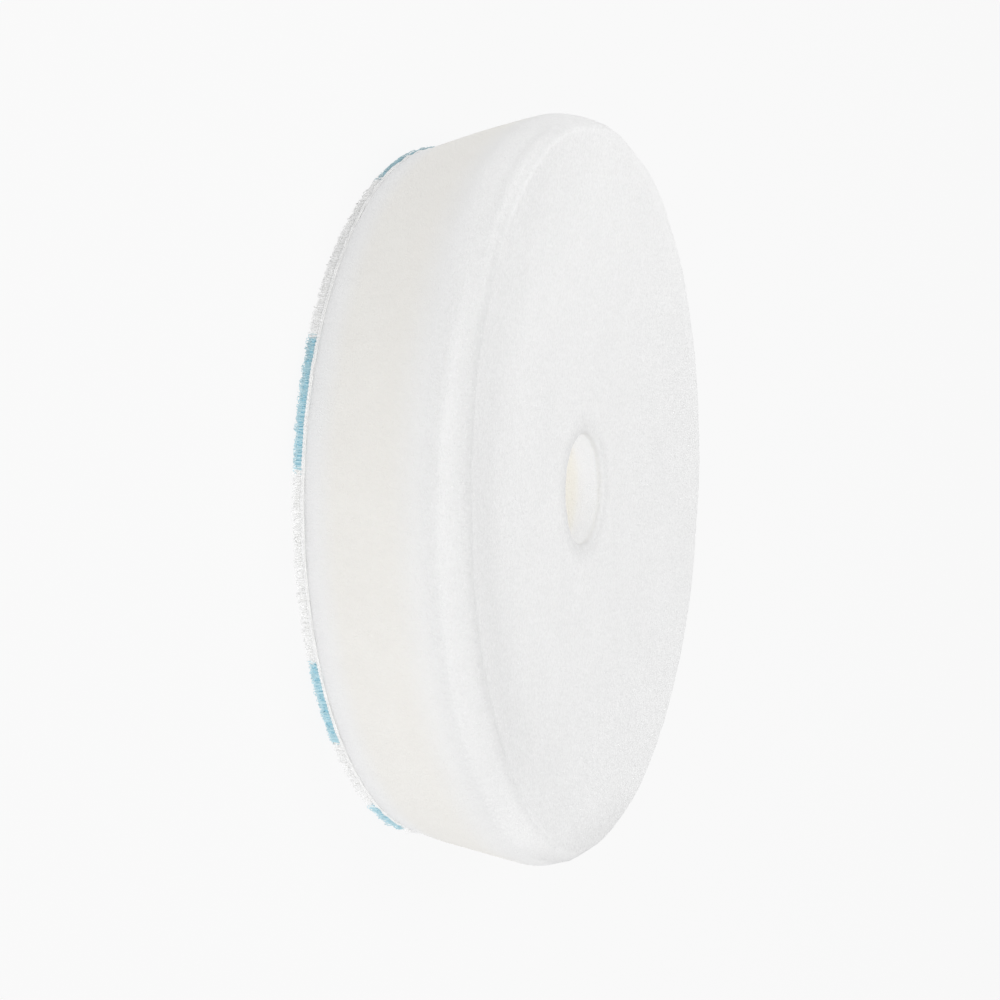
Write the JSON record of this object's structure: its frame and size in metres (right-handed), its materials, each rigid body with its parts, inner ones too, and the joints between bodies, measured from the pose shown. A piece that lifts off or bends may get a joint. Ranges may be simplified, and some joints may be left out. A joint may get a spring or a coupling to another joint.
{
  "type": "foam polishing pad",
  "caption": "Round tapered foam polishing pad with a rolled rim, a slightly dished working face, a centre hole and a loop-cloth back for a hook backing plate.",
  "frame": {"origin": "centre of the loop side's outer plane, on the pad's axis", "axes": "+Z along the pad's axis, from the loop side to the working face; X is across the printed bands of the loop cloth"},
  "size_m": [0.15, 0.15, 0.0349],
  "materials": {
    "foam": "matt open-cell polyurethane foam",
    "hot_melt": "cloudy, slightly glossy",
    "knit": "fine warp knit, matt",
    "loops_white": "brushed nylon loops, soft sheen",
    "loops_blue": "brushed nylon loops, printed light blue"
  },
  "bodies": {
    "root": {"foam_body": "foam", "adhesive_film": "hot_melt", "knit_ground": "knit", "loop_pile_plain": "loops_white", "loop_pile_printed": "loops_blue"}
  },
  "joints": []
}
